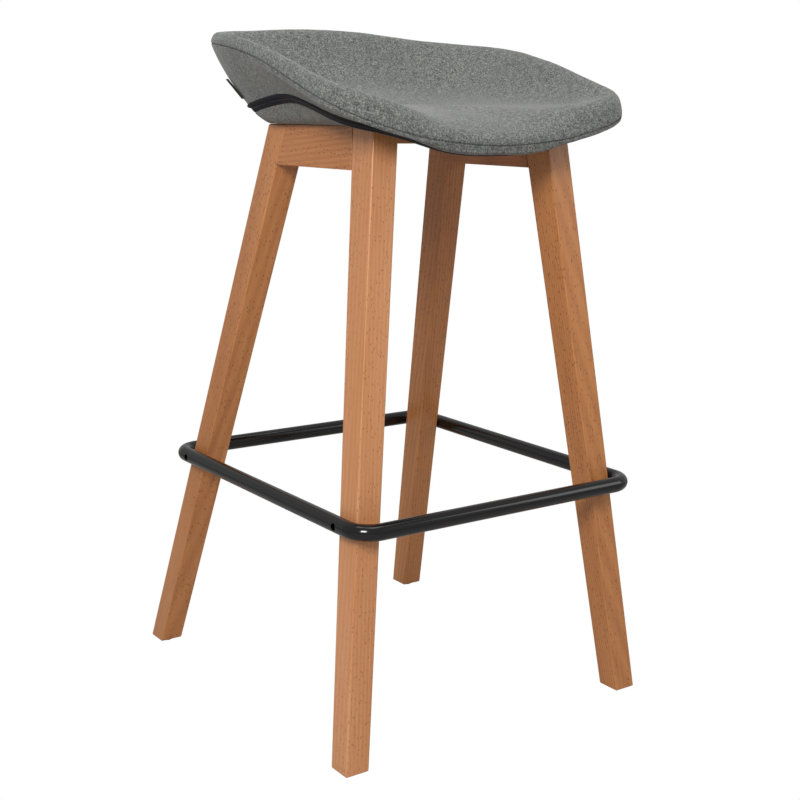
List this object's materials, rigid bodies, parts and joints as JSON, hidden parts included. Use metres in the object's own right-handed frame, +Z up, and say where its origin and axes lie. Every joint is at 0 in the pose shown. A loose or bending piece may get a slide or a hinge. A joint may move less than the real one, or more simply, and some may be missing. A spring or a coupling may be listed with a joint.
{
  "type": "bar stool with footrest",
  "caption": "Low-back bar stool: upholstered scoop seat on a splayed beech frame, with a square black tube footrest screwed round the legs.",
  "frame": {"origin": "on the floor, at the bottom centre of the bounding box, midway between the front and the rear feet", "axes": "+Z up; -Y is the way a sitter faces; +X is the sitter's left"},
  "size_m": [0.4532, 0.5156, 0.848],
  "materials": {
    "beech": "satin lacquered beech",
    "grey_felt": "grey melange wool felt",
    "navy_tape": "woven polyester tape",
    "black_powder_coat": "gloss powder coat on steel tube",
    "zinc_steel": "zinc-plated steel",
    "foam": "open-cell upholstery foam",
    "shell_plastic": "moulded, matt",
    "glide_plastic": "moulded nylon"
  },
  "bodies": {
    "root": {"leg_front_left": "beech", "leg_front_right": "beech", "leg_rear_left": "beech", "leg_rear_right": "beech", "side_rail_left": "beech", "side_rail_right": "beech", "cross_rail_front": "beech", "cross_rail_rear": "beech", "dowel_front_left_upper": "beech", "dowel_front_left_lower": "beech", "dowel_front_right_upper": "beech", "dowel_front_right_lower": "beech", "dowel_rear_left_upper": "beech", "dowel_rear_left_lower": "beech", "dowel_rear_right_upper": "beech", "dowel_rear_right_lower": "beech", "cross_dowel_front_left_front": "beech", "cross_dowel_front_left_rear": "beech", "cross_dowel_front_right_front": "beech", "cross_dowel_front_right_rear": "beech", "cross_dowel_rear_left_front": "beech", "cross_dowel_rear_left_rear": "beech", "cross_dowel_rear_right_front": "beech", "cross_dowel_rear_right_rear": "beech", "footrest_ring": "black_powder_coat", "footrest_screw_front_left": "zinc_steel", "footrest_screw_front_right": "zinc_steel", "footrest_screw_rear_left": "zinc_steel", "footrest_screw_rear_right": "zinc_steel", "glide_front_left": "glide_plastic", "glide_front_right": "glide_plastic", "glide_rear_left": "glide_plastic", "glide_rear_right": "glide_plastic", "seat_shell": "shell_plastic", "foam_pad": "foam", "top_cover": "grey_felt", "side_cover": "grey_felt", "bottom_cover": "grey_felt", "piping": "navy_tape", "zip_tape": "navy_tape", "zip_slider": "zinc_steel", "zip_pull": "zinc_steel", "blank_label": "navy_tape", "seat_bolt_front_left": "zinc_steel", "seat_bolt_front_right": "zinc_steel", "seat_bolt_rear_left": "zinc_steel", "seat_bolt_rear_right": "zinc_steel", "washer_front_left": "zinc_steel", "washer_front_right": "zinc_steel", "washer_rear_left": "zinc_steel", "washer_rear_right": "zinc_steel", "tee_nut_front_left": "zinc_steel", "tee_nut_front_right": "zinc_steel", "tee_nut_rear_left": "zinc_steel", "tee_nut_rear_right": "zinc_steel"}
  },
  "joints": []
}
